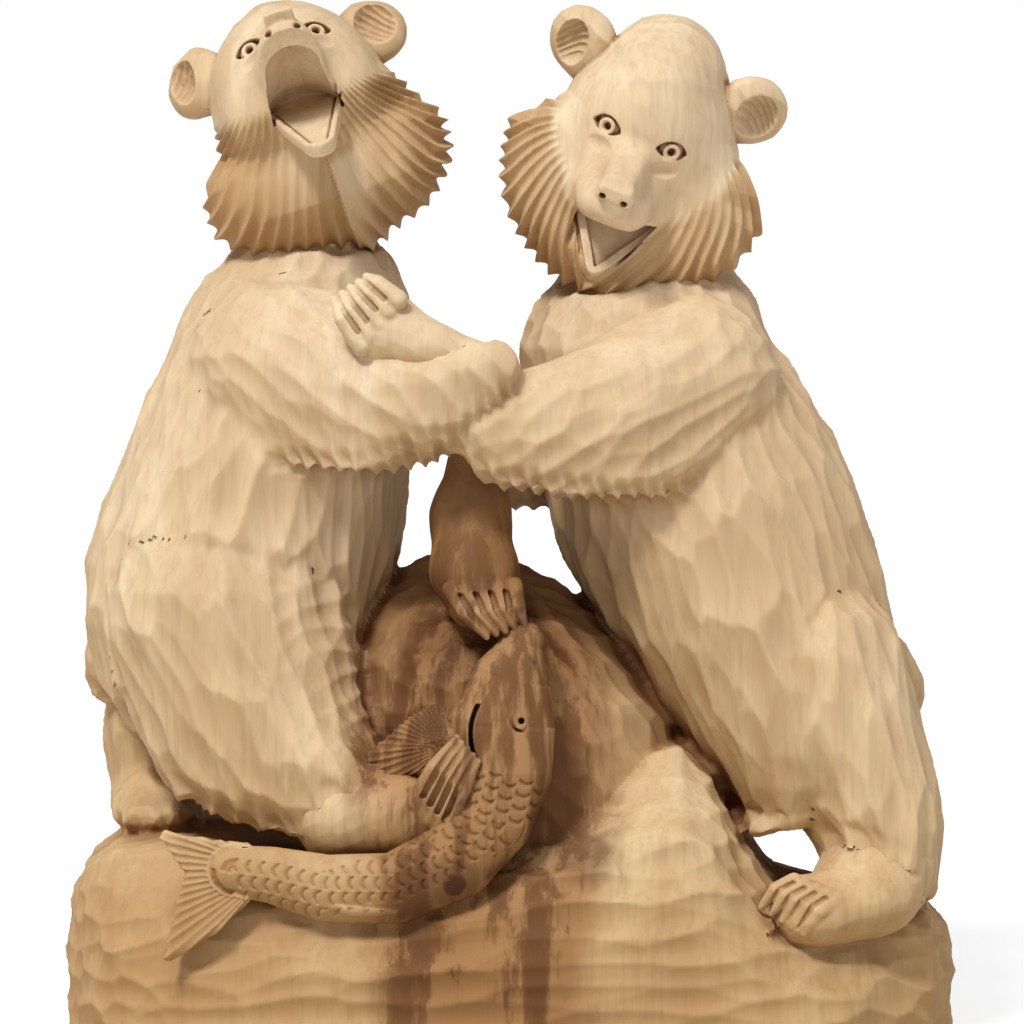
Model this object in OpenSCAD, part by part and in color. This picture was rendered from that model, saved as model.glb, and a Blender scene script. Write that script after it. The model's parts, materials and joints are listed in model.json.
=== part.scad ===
// Two carved wooden bears laughing over a fish, on a boulder and a rough-hewn base.
// +X is to the viewer's right, -Y faces the viewer, +Z is up. The origin is the
// middle of the flat underside of the base. All sizes are in millimetres.

/* [Base] */
// Width of the base
base_w = 434; // [420:2:450]
// Depth of the base
base_d = 224; // [216:2:232]
// Height of the chamfer round the foot of the base
foot_h = 10; // [6:1:16]

/* [Left bear's head] */
// Backward tilt in degrees
left_pitch = 30; // [25:1:35]
// Sideways lean in degrees
left_roll = -19; // [-22:1:-14]
// Turn towards the viewer's left in degrees
left_yaw = -5; // [-8:1:6]
// How far the jaw hangs open in degrees
left_jaw = 55; // [48:1:60]

/* [Right bear's head] */
// Backward tilt in degrees
right_pitch = -24; // [-28:1:-19]
// Sideways lean in degrees
right_roll = 21; // [16:1:25]
// How far the jaw hangs open in degrees
right_jaw = 39; // [34:1:46]

// Turn towards the viewer's left in degrees
right_yaw = 3; // [0:1:8]

/* [Ears] */
// Half the distance between the ears
ear_span = 44; // [42:1:48]
// Outer radius of an ear
ear_r = 18; // [15:1:20]

/* [Claws] */
// Thickness of a claw at its root
claw_d = 7; // [6:0.5:8]

/* [Hidden] */

lime = "burlywood";
heartwood = "peru";
sliver = 0.02;
// A fur hem's depth below its ellipsoid's middle, and its reach, as shares of the radii.
hem_drop = 0.94;
hem_reach = 0.84;
// A head's pose: middle of the skull, tilt, lean, turn, length of the ruff below it, jaw drop,
// height of the jaw's hinge, reach of the jaw from it, rise of the muzzle.
left_pose = [[-106, -2, 460], left_pitch, left_roll, left_yaw, 86, left_jaw, -28.5, 50, 2];
right_pose = [[70, -6, 447], right_pitch, right_roll, right_yaw, 93, right_jaw, -33, 46, 0];
// Place of an ear's centre behind and above the middle of the skull.
ear_back = 4;
ear_up = 17;
// Place of the jaw's hinge in front of the middle of the skull.
hinge_out = 17;

// ---------- shapes that repeat ----------

// An ellipsoid given as [x, y, z, rx, ry, rz].
module blob(b, n = 16) {
    translate([b[0], b[1], b[2]]) scale([b[3], b[4], b[5]]) sphere(1, $fn = n);
}

// Ellipsoids joined one after another by tangent skins.
module chain(list, n = 16) {
    for (i = [0 : len(list) - 2])
        hull() { blob(list[i], n); blob(list[i + 1], n); }
}

// The flat oval that an overhanging lock of fur ends in, below an ellipsoid.
module fur_hem(b, n) {
    translate([b[0], b[1], b[2] - b[5] * hem_drop]) scale([b[3] * hem_reach, b[4] * hem_reach, 1])
        cylinder(r = 1, h = sliver, $fn = n);
}

// A chain whose underside is a flat shelf, as where fur overhangs.
module shelved_chain(list, n = 16) {
    for (i = [0 : len(list) - 2])
        hull() for (b = [list[i], list[i + 1]]) { blob(b, n); fur_hem(b, n); }
}

// A level oval slice given as [z, left, right, front, back].
module slice(s, n) {
    translate([(s[1] + s[2]) / 2, (s[3] + s[4]) / 2, s[0]])
        scale([(s[2] - s[1]) / 2, (s[4] - s[3]) / 2, 1])
            cylinder(r = 1, h = sliver, $fn = n);
}

// A body built from level slices, one skin between each pair.
module lofted(slices, n = 24) {
    for (i = [0 : len(slices) - 2])
        hull() { slice(slices[i], n); slice(slices[i + 1], n); }
}

// A row of claws from root points to a row of tips, each drawn over a raised knuckle.
module claws(root_a, root_b, tip_a, tip_b, lift, count = 5, d = claw_d) {
    for (i = [0 : count - 1]) {
        t = i / (count - 1);
        root = root_a * (1 - t) + root_b * t;
        tip = tip_a * (1 - t) + tip_b * t;
        middle = (root + tip) / 2 + lift;
        hull() {
            translate(root) sphere(d = d, $fn = 10);
            translate(middle) sphere(d = d * 0.85, $fn = 10);
        }
        hull() {
            translate(middle) sphere(d = d * 0.85, $fn = 10);
            translate(tip) sphere(d = d * 0.45, $fn = 10);
        }
    }
}

// A head's own frame: muzzle along -Y, crown along +Z, lean about the view axis last.
module head_frame(pose) {
    translate(pose[0]) rotate([0, pose[2], 0]) rotate([-pose[1], 0, 0]) rotate([0, 0, -pose[3]])
        children();
}

// ---------- base and boulder ----------

// Ground stations along X: [x, height, front of the crest, back of the crest]
ground_line = [
    [-216, 60, -10, 36], [-206, 82, -42, 60], [-190, 92, -54, 74], [-150, 95, -60, 84],
    [-100, 92, -64, 88], [-50, 94, -66, 88], [0, 106, -66, 86], [35, 122, -64, 82],
    [60, 134, -58, 74], [82, 140, -50, 64], [96, 127, -50, 60], [112, 96, -52, 60],
    [132, 69, -60, 66], [160, 62, -66, 74], [203, 62, -48, 60], [216, 44, -14, 36]];

// Half the depth of the base's oval at a place along X.
function half_depth(x) = base_d / 2 * pow(1 - pow(min(abs(x) / (base_w / 2), 0.996), 3.2), 0.31);

// Fractions of the ground's height at which its sides turn.
low_turn = 0.42;
high_turn = 0.74;

module ground_station(s) {
    f = half_depth(s[0]);
    translate([s[0], 0, 0]) rotate([90, 0, 90]) linear_extrude(sliver)
        polygon([[-f + foot_h / 2, 0], [-f, foot_h], [-f, s[1] * low_turn],
            [-f * 0.88, s[1] * high_turn], [s[2], s[1]], [s[3], s[1]],
            [f * 0.93, s[1] * high_turn], [f, s[1] * low_turn], [f, foot_h], [f - foot_h / 2, 0]]);
}

module ground_shape() {
    for (i = [0 : len(ground_line) - 2])
        hull() { ground_station(ground_line[i]); ground_station(ground_line[i + 1]); }
}

boulder_slices = [
    [60, -84, 96, -80, 70], [100, -88, 94, -84, 74], [130, -88, 87, -85, 76],
    [156, -86, 77, -82, 76], [182, -82, 60, -72, 74], [200, -76, 42, -56, 68],
    [213, -67, 28, -36, 60], [222, -54, 10, -14, 46], [228, -42, -8, 2, 34]];

module boulder_shape() lofted(boulder_slices);

module base() color(lime) difference() {
    ground_shape();
    right_front_leg_shape();
    left_front_leg_shape();
    left_back_leg_shape();
    right_back_leg_shape();
}

module boulder() color(heartwood) difference() {
    boulder_shape();
    ground_shape();
    left_torso_shape();
    right_torso_shape();
    left_front_leg_shape();
    rock_paw_shape();
    fish_body_shape();
}

// ---------- fish ----------

// The fish's spine, from the snout under the paw, down the boulder, along the ground to the tail.
fish_spine = [
    [8, -80, 196, 7, 9, 6], [2, -85, 178, 18, 12, 14], [-3, -89, 156, 22, 13, 17],
    [-3, -93, 134, 22, 14, 17], [-9, -97, 112, 21, 13, 17], [-26, -99, 92, 21, 12, 16],
    [-54, -101, 79, 19, 11, 15], [-86, -101, 79, 17, 10, 15], [-112, -99, 85, 14, 9, 14],
    [-130, -97, 87, 12, 8, 13]];

module fish_body_shape() chain(fish_spine, 14);

// A thin fan of triangles from the first point through the others.
module fin(points, thickness = 6) {
    for (i = [1 : len(points) - 2])
        hull() for (p = [points[0], points[i], points[i + 1]])
            translate(p) sphere(d = thickness, $fn = 8);
}

module tail_shape() {
    fin([[-124, -98, 84], [-124, -98, 97], [-145, -97, 100], [-163, -95, 103], [-151, -97, 86]]);
    fin([[-120, -99, 80], [-151, -97, 86], [-155, -99, 70], [-161, -104, 47], [-137, -103, 62]]);
}

module pectoral_shape() fin([[-27, -92, 150], [-36, -84, 162], [-44, -82, 158], [-52, -81, 151],
    [-60, -80, 144], [-68, -80, 138], [-62, -82, 130], [-42, -90, 134]]);

module anal_fin_shape() fin([[-58, -107, 84], [-92, -107, 75], [-74, -108, 70], [-54, -108, 70],
    [-46, -107, 79]]);

module fish_body() color(heartwood) difference() {
    fish_body_shape();
    left_front_leg_shape();
    rock_paw_shape();
    ground_shape();
}
module fish_tail_fin() color(lime) difference() {
    tail_shape();
    fish_body_shape();
    ground_shape();
}
module fish_pectoral_fin() color(heartwood) difference() {
    pectoral_shape();
    fish_body_shape();
    boulder_shape();
    left_front_leg_shape();
}
module fish_anal_fin() color(lime) difference() {
    anal_fin_shape();
    fish_body_shape();
    ground_shape();
}

// ---------- left bear ----------

left_torso_slices = [
    [388, -130, -66, -22, 34], [374, -140, -56, -32, 42], [358, -155, -48, -44, 52],
    [337, -165, -43, -58, 62], [312, -176, -44, -63, 70], [286, -188, -47, -66, 76],
    [256, -199, -49, -68, 82], [226, -210, -55, -72, 86], [196, -210, -64, -74, 88],
    [168, -203, -72, -74, 84], [146, -190, -80, -66, 74], [128, -168, -98, -44, 56]];
left_front_leg = [
    [-136, -34, 206, 62, 45, 54], [-122, -44, 160, 56, 42, 46], [-95, -58, 131, 38, 34, 33],
    [-77, -70, 124, 26, 25, 24]];
left_front_foot = [[-78, -72, 109, 25, 24, 24], [-50, -85, 112, 20, 19, 20]];
left_back_leg = [
    [-154, 30, 180, 42, 42, 42], [-172, 32, 138, 32, 36, 34], [-176, 28, 112, 24, 32, 24],
    [-174, 4, 102, 25, 40, 14]];

module left_torso_shape() lofted(left_torso_slices);
module left_front_arm_shape() shelved_chain([
    [-108, -25, 320, 50, 46, 48], [-70, -54, 308, 37, 31, 36], [-36, -75, 312, 26, 19, 25],
    [-9, -84, 324, 16, 12, 15]]);
module left_back_arm_shape() chain([
    [-84, 26, 318, 40, 36, 42], [-46, 40, 300, 28, 24, 28], [-14, 48, 298, 20, 18, 20],
    [12, 48, 300, 15, 15, 15]]);
module left_leg_only_shape() shelved_chain(left_front_leg);
module left_foot_shape() {
    chain(left_front_foot);
    claws([-45, -101, 120], [-31, -98, 104], [-25, -104, 151], [-15, -106, 140], [0, -5, 2], 5);
}
module left_front_leg_shape() {
    left_leg_only_shape();
    left_foot_shape();
}
module left_back_leg_shape() chain(left_back_leg);
module left_tail_shape() chain([[-192, 14, 186, 14, 16, 16], [-198, 15, 174, 14, 17, 20],
    [-193, 16, 158, 10, 12, 10]], 12);

// ---------- right bear ----------

right_torso_slices = [
    [384, 38, 102, -18, 38], [368, 25, 111, -30, 46], [352, 12, 122, -43, 55],
    [332, 4, 130, -56, 62], [310, 5, 145, -61, 70], [288, 9, 159, -66, 76],
    [256, 17, 173, -70, 82], [226, 25, 183, -72, 86], [197, 43, 190, -74, 88],
    [168, 63, 193, -76, 88], [138, 84, 195, -76, 82], [121, 95, 195, -72, 74],
    [109, 106, 192, -66, 62], [98, 112, 126, -60, 30]];
right_front_leg = [
    [148, -34, 178, 44, 42, 44], [169, -42, 134, 34, 38, 34], [182, -52, 96, 27, 31, 32]];
right_front_foot = [[178, -54, 84, 27, 27, 26], [166, -70, 69, 28, 24, 17], [145, -82, 63, 21, 18, 13]];

module right_torso_shape() lofted(right_torso_slices);
module right_front_arm_shape() shelved_chain([
    [88, -28, 312, 44, 42, 46], [50, -58, 298, 38, 31, 40], [12, -73, 294, 28, 20, 30],
    [-16, -78, 297, 16, 12, 16]]);
module chest_paw_shape() {
    chain([[-14, -78, 326, 11, 11, 10], [-39, -77, 333, 14, 13, 12], [-57, -74, 341, 20, 14, 18]], 14);
    claws([-70, -82, 334], [-53, -84, 356], [-83, -73, 356], [-68, -73, 367], [-2, -5, 2], 5);
}
module right_back_arm_shape() chain([
    [78, 22, 308, 40, 36, 42], [40, 34, 284, 28, 24, 28], [12, 22, 268, 22, 20, 20],
    [-10, -2, 266, 15, 16, 15]]);
module rock_paw_shape() {
    chain([[-14, -26, 284, 14, 16, 16], [-19, -46, 250, 18, 15, 20], [-17, -60, 226, 20, 15, 17],
        [-12, -70, 210, 18, 12, 12]], 14);
    claws([-28, -76, 218], [2, -74, 220], [-11, -87, 197], [7, -84, 202], [-1, -5, 0], 5);
}
module right_leg_only_shape() shelved_chain(right_front_leg);
module right_foot_shape() {
    chain(right_front_foot);
    claws([147, -94, 60], [156, -84, 74], [123, -97, 56], [135, -90, 72], [-1, -4, 3], 5);
}
module right_front_leg_shape() {
    right_leg_only_shape();
    right_foot_shape();
}
module right_back_leg_shape() chain([
    [152, 34, 176, 40, 42, 44], [174, 38, 128, 27, 36, 32], [186, 34, 86, 20, 32, 28],
    [186, 10, 70, 20, 38, 13]]);
module right_tail_shape() chain([[186, 22, 176, 12, 14, 14], [194, 24, 162, 12, 14, 18],
    [196, 26, 146, 8, 10, 10]], 12);

// ---------- heads ----------

// Skull and muzzle in the head's own frame.
module skull_shape(pose) {
    hull() {
        blob([-1, 2, 9, 32, 42, 37], 22);
        blob([0, 2, -4, 41, 42, 34], 20);
        blob([0, -20, -7, 35, 22, 28], 18);
    }
    translate([0, 0, pose[8]]) {
        hull() { blob([0, -30, -13, 24, 16, 19], 16); blob([0, -60, -23, 18, 16, 13], 16); }
        hull() for (x = [-5, 5]) for (z = [-12, -18]) translate([x, -75, z]) sphere(d = 8, $fn = 10);
    }
}

// Turns a piece of the jaw down about the hinge.
module at_hinge(pose) translate([0, -hinge_out, pose[6]]) rotate([pose[5], 0, 0]) children();

// The lower jaw is a blunt trough that swings down from its hinge.
module jaw_shape(pose) at_hinge(pose) hull() {
    for (x = [-13, 13]) blob([x, 4, -2, 8, 8, 6], 12);
    for (x = [-2, 2]) blob([x, -pose[7], -1, 7, 8, 5], 12);
}

// Between the palate and the jaw the mouth is open.
module mouth_hollow(pose) hull() {
    for (x = [-16, 16]) translate([x, -hinge_out - 4, pose[6]]) sphere(d = 5, $fn = 8);
    for (x = [-12, 12]) translate([x, -90, -29 + 2 * pose[8]]) sphere(d = 6, $fn = 8);
    at_hinge(pose) for (x = [-12, 12]) translate([x, -pose[7] - 14, 4]) sphere(d = 4, $fn = 8);
}

// The ruff of fur round the jaw leans with the head but doesn't nod with it.
module ruff_shape(pose) translate(pose[0]) rotate([0, pose[2], 0]) hull() {
    for (x = [-22, 22]) blob([x, 2, -30, 37, 27, 34], 18);
    blob([0, -6, 32 - pose[4], 40, 29, 32], 18);
}

// The whole head before its jaw is let in.
module head_mass(pose) {
    head_frame(pose) skull_shape(pose);
    ruff_shape(pose);
}

module head(pose) color(lime) difference() {
    head_mass(pose);
    head_frame(pose) mouth_hollow(pose);
    head_frame(pose) jaw_shape(pose);
}

module jaw(pose) color(lime) head_frame(pose) jaw_shape(pose);

// An ear is a round cup on the skull, hollowed on the face that is turned outward.
module ear(pose, side, turn) color(lime) difference() {
    head_frame(pose) translate([side * ear_span, ear_back, ear_up])
        rotate([0, 0, side * turn]) difference() {
            hull() {
                scale([1, 0.5, 1]) sphere(ear_r, $fn = 20);
                translate([-side * 10, 2, -8]) scale([1, 0.6, 1]) sphere(ear_r * 0.7, $fn = 16);
            }
            translate([side * 2, -ear_r * 0.62, 1]) scale([1, 0.62, 1.1])
                sphere(ear_r * 0.68, $fn = 16);
        }
    head_mass(pose);
}

module left_head_mass() head_mass(left_pose);
module right_head_mass() head_mass(right_pose);
module left_bear_head() head(left_pose);
module right_bear_head() head(right_pose);
module left_bear_jaw() jaw(left_pose);
module right_bear_jaw() jaw(right_pose);
module left_bear_ear_left() ear(left_pose, -1, 40);
module left_bear_ear_right() ear(left_pose, 1, 8);
module right_bear_ear_left() ear(right_pose, -1, 20);
module right_bear_ear_right() ear(right_pose, 1, 14);

// ---------- bodies cut to meet face to face ----------

module left_bear_torso() color(lime) difference() {
    left_torso_shape();
    left_head_mass();
    left_front_arm_shape();
    left_back_arm_shape();
    left_front_leg_shape();
    left_back_leg_shape();
    chest_paw_shape();
}
module left_bear_front_arm() color(lime) difference() {
    left_front_arm_shape();
    chest_paw_shape();
    left_head_mass();
}
module left_bear_back_arm() color(lime) difference() {
    left_back_arm_shape();
    right_torso_shape();
    right_front_arm_shape();
    left_front_arm_shape();
    left_head_mass();
}
module left_bear_front_leg() color(lime) difference() {
    left_leg_only_shape();
    left_foot_shape();
    left_back_leg_shape();
}
module left_bear_front_foot() color(lime) left_foot_shape();
module left_bear_back_leg() color(lime) left_back_leg_shape();
module left_bear_tail() color(lime) difference() {
    left_tail_shape();
    left_torso_shape();
    left_back_leg_shape();
}

module right_bear_torso() color(lime) difference() {
    right_torso_shape();
    ground_shape();
    right_head_mass();
    right_front_arm_shape();
    right_back_arm_shape();
    right_front_leg_shape();
    right_back_leg_shape();
}
module right_bear_front_arm() color(lime) difference() {
    right_front_arm_shape();
    left_front_arm_shape();
    right_head_mass();
}
module right_bear_chest_paw() color(lime) difference() {
    chest_paw_shape();
    right_front_arm_shape();
}
module right_bear_back_arm() color(lime) difference() {
    right_back_arm_shape();
    left_back_arm_shape();
    right_front_arm_shape();
    right_head_mass();
}
module right_bear_rock_paw() color(heartwood) difference() {
    rock_paw_shape();
    right_front_arm_shape();
    right_back_arm_shape();
}
module right_bear_front_leg() color(lime) difference() {
    right_leg_only_shape();
    right_foot_shape();
    right_back_leg_shape();
}
module right_bear_front_foot() color(lime) difference() {
    right_foot_shape();
    right_back_leg_shape();
}
module right_bear_back_leg() color(lime) right_back_leg_shape();
module right_bear_tail() color(lime) difference() {
    right_tail_shape();
    right_torso_shape();
    right_back_leg_shape();
}

base();
boulder();
fish_body();
fish_tail_fin();
fish_pectoral_fin();
fish_anal_fin();
left_bear_torso();
left_bear_head();
left_bear_jaw();
left_bear_ear_left();
left_bear_ear_right();
left_bear_front_arm();
left_bear_back_arm();
left_bear_front_leg();
left_bear_front_foot();
left_bear_back_leg();
left_bear_tail();
right_bear_torso();
right_bear_head();
right_bear_jaw();
right_bear_ear_left();
right_bear_ear_right();
right_bear_front_arm();
right_bear_chest_paw();
right_bear_back_arm();
right_bear_rock_paw();
right_bear_front_leg();
right_bear_front_foot();
right_bear_back_leg();
right_bear_tail();
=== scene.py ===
"""Carves two laughing bears, a fish, a boulder and their base out of the CAD model's blanks.

Every CAD solid is a blank. Its distance field is sampled on a lattice, neighbouring blanks are
blended where the carver let one form run into the next, the gouge cuts are added, and each
piece's skin is taken off the lattice as its own closed mesh. All lengths inside are millimetres.
"""

import json

import bpy
import numpy as np
import openvdb as vdb
from mathutils import Matrix, Vector


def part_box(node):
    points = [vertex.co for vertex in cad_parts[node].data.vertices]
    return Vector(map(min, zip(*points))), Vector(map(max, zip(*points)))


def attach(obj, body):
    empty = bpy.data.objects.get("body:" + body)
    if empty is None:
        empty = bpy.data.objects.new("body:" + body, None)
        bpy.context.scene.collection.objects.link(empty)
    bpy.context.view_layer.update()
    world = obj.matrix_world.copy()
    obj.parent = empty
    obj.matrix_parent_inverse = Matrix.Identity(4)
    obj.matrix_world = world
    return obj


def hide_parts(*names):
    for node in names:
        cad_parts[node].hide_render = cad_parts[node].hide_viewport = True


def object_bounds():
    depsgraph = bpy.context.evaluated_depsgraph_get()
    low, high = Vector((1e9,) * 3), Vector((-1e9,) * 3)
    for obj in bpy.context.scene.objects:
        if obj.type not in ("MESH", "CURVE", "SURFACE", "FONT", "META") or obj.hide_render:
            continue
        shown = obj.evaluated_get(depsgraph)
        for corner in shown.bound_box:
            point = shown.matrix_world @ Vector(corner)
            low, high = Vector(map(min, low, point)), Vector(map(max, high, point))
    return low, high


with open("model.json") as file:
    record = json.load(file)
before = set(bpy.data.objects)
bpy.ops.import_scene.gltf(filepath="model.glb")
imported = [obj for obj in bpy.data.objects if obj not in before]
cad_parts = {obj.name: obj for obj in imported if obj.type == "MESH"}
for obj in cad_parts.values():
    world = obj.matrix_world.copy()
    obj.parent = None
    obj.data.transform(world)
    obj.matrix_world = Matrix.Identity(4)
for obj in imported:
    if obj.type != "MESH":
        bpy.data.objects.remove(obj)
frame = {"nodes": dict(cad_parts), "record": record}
cad_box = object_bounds()

MM = 1000.0
LIME, HEART = "lime_pale", "lime_heart"
SLOT = {part["node"]: part["material_slot"] for part in frame["record"]["subparts"]}
COARSE = 1.35
FINE = 0.65


# ---------------------------------------------------------------- small mathematics


def clamp(x, low=0.0, high=1.0):
    return np.minimum(np.maximum(x, low), high)


def smooth(x):
    x = clamp(x)
    return x * x * (3 - 2 * x)


def smin(a, b, k):
    """Union of two distances with a fillet of about k."""
    h = clamp(0.5 + 0.5 * (b - a) / k)
    return b * (1 - h) + a * h - k * h * (1 - h)


def smax(a, b, k):
    return -smin(-a, -b, k)


def length(p):
    return np.sqrt(np.einsum("ij,ij->i", p, p))


def unit(p, least=1e-12):
    return p / np.maximum(length(p), least)[:, None]


def egg(p, centre, radii):
    """Distance to an ellipsoid, near enough close to its skin."""
    q = (p - np.asarray(centre, np.float32)) / np.asarray(radii, np.float32)
    k0 = length(q)
    k1 = length(q / np.asarray(radii, np.float32))
    return k0 * (k0 - 1) / np.maximum(k1, 1e-6)


def rod(p, a, b, ra, rb):
    """Distance to a tapered rod with round ends."""
    a, b = np.asarray(a, np.float32), np.asarray(b, np.float32)
    ab = b - a
    t = clamp((p - a) @ ab / float(ab @ ab))
    return length(p - a - t[:, None] * ab) - (ra + (rb - ra) * t)


def hash01(i, j, k, seed):
    """A repeatable random number for each whole-number cell."""
    n = (i * 374761393 + j * 668265263 + k * 2147483647 + seed * 1274126177).astype(np.int64)
    n = ((n ^ (n >> 13)) * 1274126177) & 0x7FFFFFFF
    return ((n ^ (n >> 16)) & 0xFFFFFF) / float(0xFFFFFF)


CORNER = np.array([[c & 1, (c >> 1) & 1, (c >> 2) & 1] for c in range(8)])


def corner_shares(f):
    """The corners of a cell with each one's share in a linear blend at f."""
    return [(corner, np.prod(np.where(corner, f, 1 - f), axis=1)) for corner in CORNER]


def value_noise(p, scale, seed=0):
    """Smooth noise from -1 to 1 with features about scale across."""
    q = p / np.asarray(scale, np.float32)
    base = np.floor(q).astype(np.int64)
    f = q - base
    total = np.zeros(len(p), np.float32)
    for corner, share in corner_shares(f * f * (3 - 2 * f)):
        total += (share * hash01(*(base + corner).T, seed)).astype(np.float32)
    return total * 2 - 1


def scoops(p, scale, seed=0):
    """Gouge cuts: 0 in the bed of a cut, near 1 on the crisp ridge where two cuts meet."""
    q = p / np.asarray(scale, np.float32)
    base = np.floor(q).astype(np.int64)
    best = np.full(len(p), 9.0, np.float32)
    for cell in np.ndindex(3, 3, 3):
        g = base + np.array(cell) - 1
        spot = [g[:, a] + 0.15 + 0.7 * hash01(*g.T, seed + 11 * a) for a in range(3)]
        off = q - np.stack(spot, 1)
        best = np.minimum(best, np.einsum("ij,ij->i", off, off).astype(np.float32))
    return np.minimum(best, 1.2)


def flute(t):
    """Side by side U-shaped cuts, one per unit of t: 0 in the bed, 1 on the arris."""
    f = t - np.floor(t) - 0.5
    return 4 * f * f


def gauss(values, sigma):
    """Blurs a lattice by sigma lattice steps."""
    r = max(1, int(np.ceil(2.5 * sigma)))
    kernel = np.exp(-0.5 * (np.arange(-r, r + 1) / sigma) ** 2)
    kernel /= kernel.sum()
    for axis in range(3):
        padded = np.pad(values, [(r, r) if a == axis else (0, 0) for a in range(3)], mode="edge")
        n = values.shape[axis]
        out = np.zeros_like(values)
        for i, w in enumerate(kernel):
            cut = [slice(None)] * 3
            cut[axis] = slice(i, i + n)
            out += np.float32(w) * padded[tuple(cut)]
        values = out
    return values


# ---------------------------------------------------------------- lattices


class Lattice:
    """Sample points step apart, shape of them along each axis from the corner low."""

    def __init__(self, low, step, shape):
        self.low, self.step, self.shape = np.asarray(low, float), float(step), tuple(shape)

    @classmethod
    def over(cls, low, high, step):
        """The lattice that fills a box."""
        return cls(low, step, (int(n) for n in np.ceil((high - low) / step) + 1))

    def sample(self, values, p):
        """Values between sample points, by linear blends."""
        q = clamp((p - self.low) / self.step, 0, np.array(self.shape) - 1.001)
        i = q.astype(np.int64)
        f = (q - i).astype(np.float32)
        total = np.zeros(len(p), np.float32)
        flat = values.ravel()
        _, ny, nz = self.shape
        for corner, share in corner_shares(f):
            x, y, z = (i + corner).T
            total += share * flat[(x * ny + y) * nz + z]
        return total


def solid_mesh(node):
    me = frame["nodes"][node].data
    me.calc_loop_triangles()
    co = np.empty(len(me.vertices) * 3, np.float32)
    me.vertices.foreach_get("co", co)
    tri = np.empty(len(me.loop_triangles) * 3, np.int32)
    me.loop_triangles.foreach_get("vertices", tri)
    return co.reshape(-1, 3) * MM, tri.reshape(-1, 3).astype(np.uint32)


def placed(lattice):
    """The transform of a grid whose points are the lattice's."""
    s = lattice.step
    rows = [[s, 0, 0, 0], [0, s, 0, 0], [0, 0, s, 0], [*map(float, lattice.low), 1]]
    return vdb.createLinearTransform(rows)


def level_set(lattice, points, band, triangles=None, quads=None):
    return vdb.FloatGrid.createLevelSetFromPolygons(
        points, triangles=triangles, quads=quads,
        transform=placed(lattice), halfWidth=band / lattice.step,
    )


def blanks(nodes, lattice, band):
    """Each CAD solid's distance on its own part of the lattice: node -> (slices, values)."""
    out = {}
    for node in nodes:
        points, triangles = solid_mesh(node)
        grid = level_set(lattice, points, band, triangles)
        low = np.floor((points.min(0) - band - lattice.low) / lattice.step).astype(int)
        high = np.ceil((points.max(0) + band - lattice.low) / lattice.step).astype(int) + 1
        low, high = np.maximum(low, 0), np.minimum(high, lattice.shape)
        if (high <= low).any():
            continue
        values = np.empty(tuple(high - low), np.float32)
        grid.copyToArray(values, ijk=tuple(int(v) for v in low))
        out[node] = (tuple(slice(a, b) for a, b in zip(low, high)), values)
    return out


def join(parts, lattice, band, yields):
    """Union of blanks that meet face to face, and the number of the nearest blank at each point.
    Deep enough under the skin a blank reaches into a neighbour that yields, so that no gap opens
    behind the neighbour's own finer skin: node -> (reach, depth)."""
    best, under = (np.full(lattice.shape, band, np.float32) for _ in range(2))
    owner, deep_owner = (np.zeros(lattice.shape, np.int8) for _ in range(2))
    for number, (node, (cut, values)) in enumerate(parts.items()):
        held = values + 2 * yields.get(node, (0, 0))[0]
        for least, first, mine in ((best, owner, values), (under, deep_owner, held)):
            nearer = mine < least[cut]
            least[cut][nearer] = mine[nearer]
            first[cut][nearer] = number
    depths = np.array([yields.get(node, (0, 0))[1] for node in parts], np.float32)
    deep = best < -depths[owner]
    owner[deep] = deep_owner[deep]
    del under, deep_owner
    # The faces inside the union are lost by meshing it a little outside and measuring again.
    lift = 0.35 * lattice.step
    grid = vdb.FloatGrid(band)
    grid.copyFromArray(best)
    grid.transform = placed(lattice)
    points, triangles, quads = grid.convertToPolygons(isovalue=lift)
    grid = level_set(lattice, points, band, triangles, quads)
    union = np.empty(lattice.shape, np.float32)
    grid.copyToArray(union)
    return union + np.float32(lift), owner


# ---------------------------------------------------------------- from lattice to skins


EDGES = [(a, b) for a in range(8) for b in range(8) if a < b and bin(a ^ b).count("1") == 1]


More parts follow.
